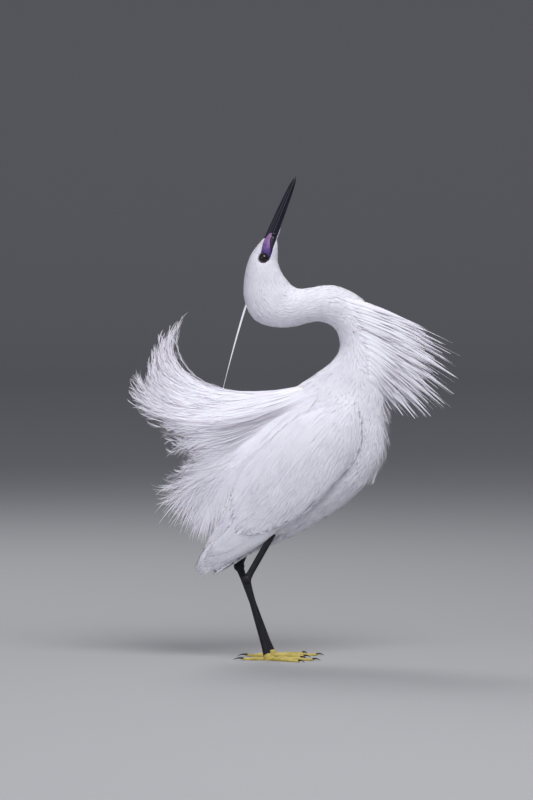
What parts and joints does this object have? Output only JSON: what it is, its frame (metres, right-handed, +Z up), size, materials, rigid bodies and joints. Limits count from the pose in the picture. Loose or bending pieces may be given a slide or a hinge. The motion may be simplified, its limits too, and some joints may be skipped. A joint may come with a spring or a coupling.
{
  "type": "little egret, life-size still model",
  "caption": "Slender white wading bird standing with its neck folded back, bill raised and long plumes spread.",
  "frame": {"origin": "middle of the base of the bounding box, on the ground that the feet stand on", "axes": "+Z up, +X the way the bird faces, +Y to its left"},
  "size_m": [0.4336, 0.1238, 0.6042],
  "materials": {
    "plumage": "soft white feathers, matt and silky",
    "plumes": "loose white plumes, fine and lacy",
    "horn": "smooth blue-black horn, low gloss",
    "leg_skin": "black scaled skin",
    "foot_skin": "dull yellow scaled skin",
    "eye": "polished, nearly black"
  },
  "bodies": {
    "root": {"head": "plumage", "neck_upper": "plumage", "neck_middle": "plumage", "neck_lower": "plumage", "trunk": "plumage", "tail": "plumage", "wing_right_arm": "plumage", "wing_right_flight": "plumage", "wing_left_arm": "plumage", "wing_left_flight": "plumage", "thigh_right": "plumage", "thigh_left": "plumage", "plumes_middle": "plumes", "plumes_right": "plumes", "plumes_left": "plumes", "neck_plumes": "plumes", "nape_plume_right": "plumes", "nape_plume_left": "plumes", "bill_upper": "horn", "bill_lower": "horn", "claw_right_inner": "horn", "claw_right_middle": "horn", "claw_right_outer": "horn", "claw_right_hind": "horn", "claw_left_inner": "horn", "claw_left_middle": "horn", "claw_left_outer": "horn", "claw_left_hind": "horn", "shank_right": "leg_skin", "shank_left": "leg_skin", "tarsus_right": "leg_skin", "tarsus_left": "leg_skin", "foot_right": "foot_skin", "foot_left": "foot_skin", "eye_right": "eye", "eye_left": "eye"}
  },
  "joints": []
}
